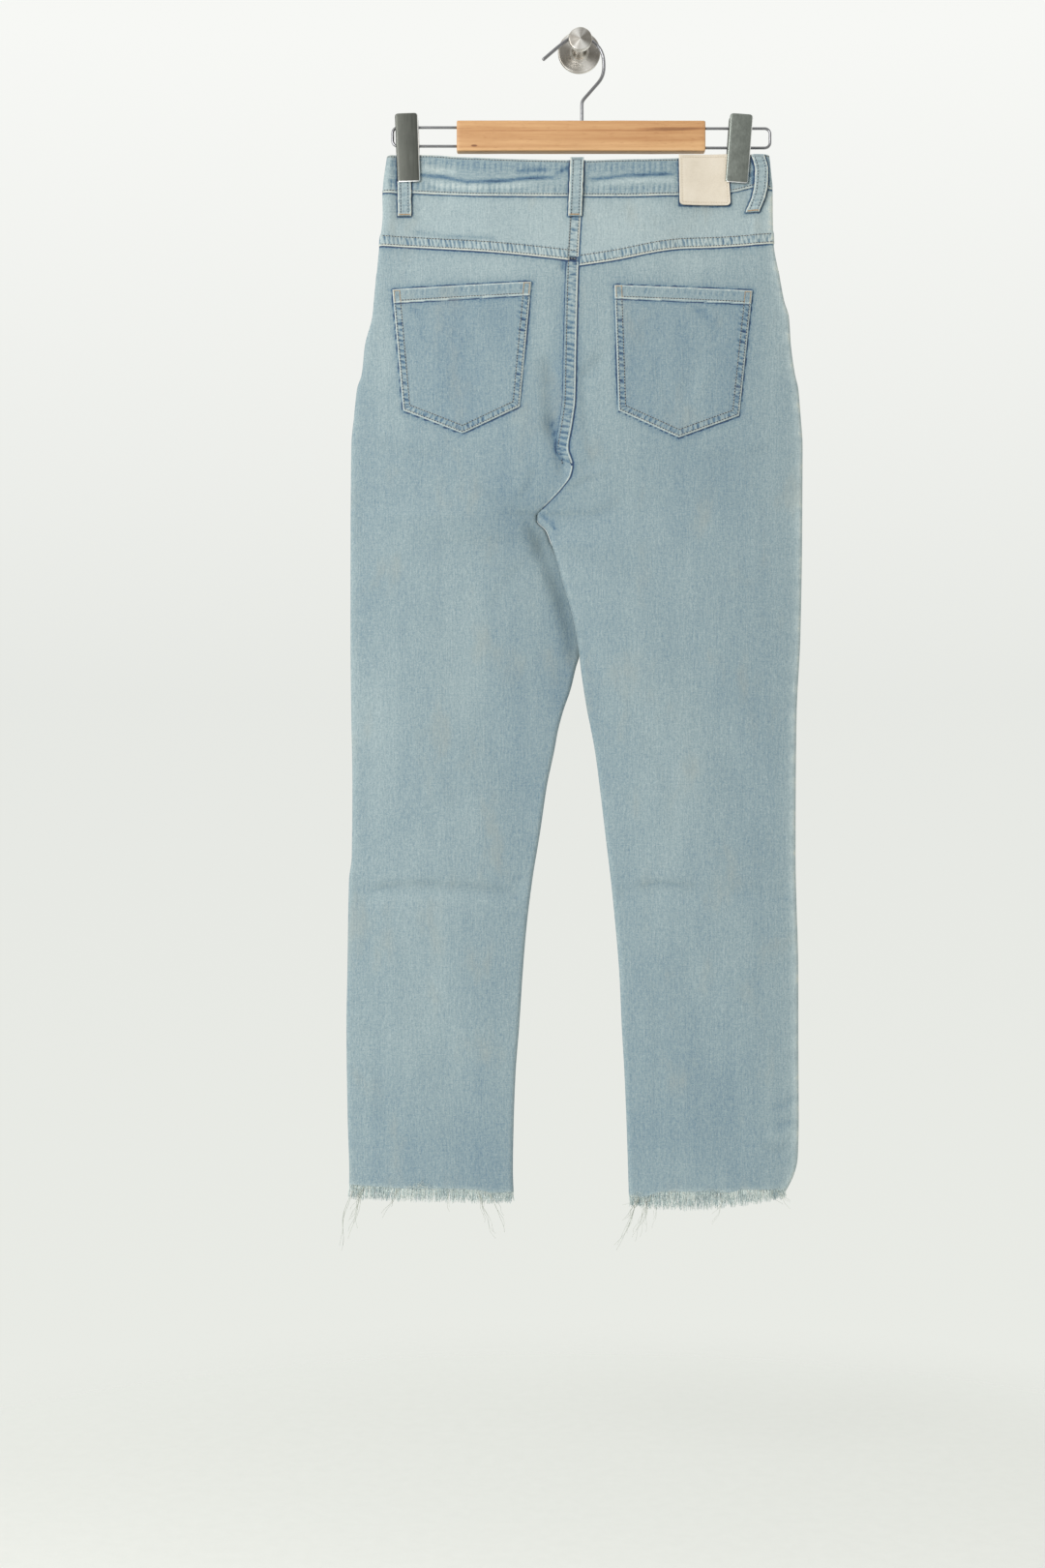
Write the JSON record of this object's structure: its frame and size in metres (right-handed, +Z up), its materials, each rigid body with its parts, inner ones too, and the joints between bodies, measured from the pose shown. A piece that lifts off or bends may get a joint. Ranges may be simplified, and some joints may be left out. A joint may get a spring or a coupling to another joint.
{
  "type": "straight leg jeans on a clip hanger and wall knob",
  "caption": "Cropped straight leg denim trousers with raw frayed hems, hung by the waistband from a wooden bar clip hanger on a round wall knob.",
  "frame": {"origin": "centre of the wall plate's back face, where the knob is fixed to the wall", "axes": "+X across the back of the jeans from the wearer's left to the right, +Y into the wall, +Z up; the back of the jeans faces -Y"},
  "size_m": [0.4304, 0.043, 1.145],
  "materials": {
    "denim": "light washed stretch denim twill",
    "fray": "loose off-white and pale blue threads",
    "patch": "plain pale beige, matt",
    "button_metal": "plain aged metal",
    "beech": "satin lacquered, grain along the bar",
    "chrome": "polished and turned steel",
    "brushed_steel": "brushed, plated"
  },
  "bodies": {
    "root": {"back_panel_left": "denim", "back_panel_right": "denim", "front_panel_left": "denim", "front_panel_right": "denim", "yoke_left": "denim", "yoke_right": "denim", "pocket_facing_left": "denim", "pocket_facing_right": "denim", "fly_shield": "denim", "waistband": "denim", "back_pocket_left": "denim", "back_pocket_right": "denim", "belt_loop_back_left": "denim", "belt_loop_back_centre": "denim", "belt_loop_back_right": "denim", "belt_loop_front_left": "denim", "belt_loop_front_right": "denim", "waist_patch": "patch", "waist_button": "button_metal", "hem_fringe_left": "fray", "hem_fringe_right": "fray", "hanger_bar": "beech", "hanger_hook": "chrome", "clip_wire_left": "chrome", "clip_wire_right": "chrome", "clip_back_left": "brushed_steel", "clip_back_right": "brushed_steel", "clip_front_left": "brushed_steel", "clip_front_right": "brushed_steel", "clip_spring_left": "brushed_steel", "clip_spring_right": "brushed_steel", "wall_plate": "chrome", "wall_knob": "chrome"}
  },
  "joints": []
}
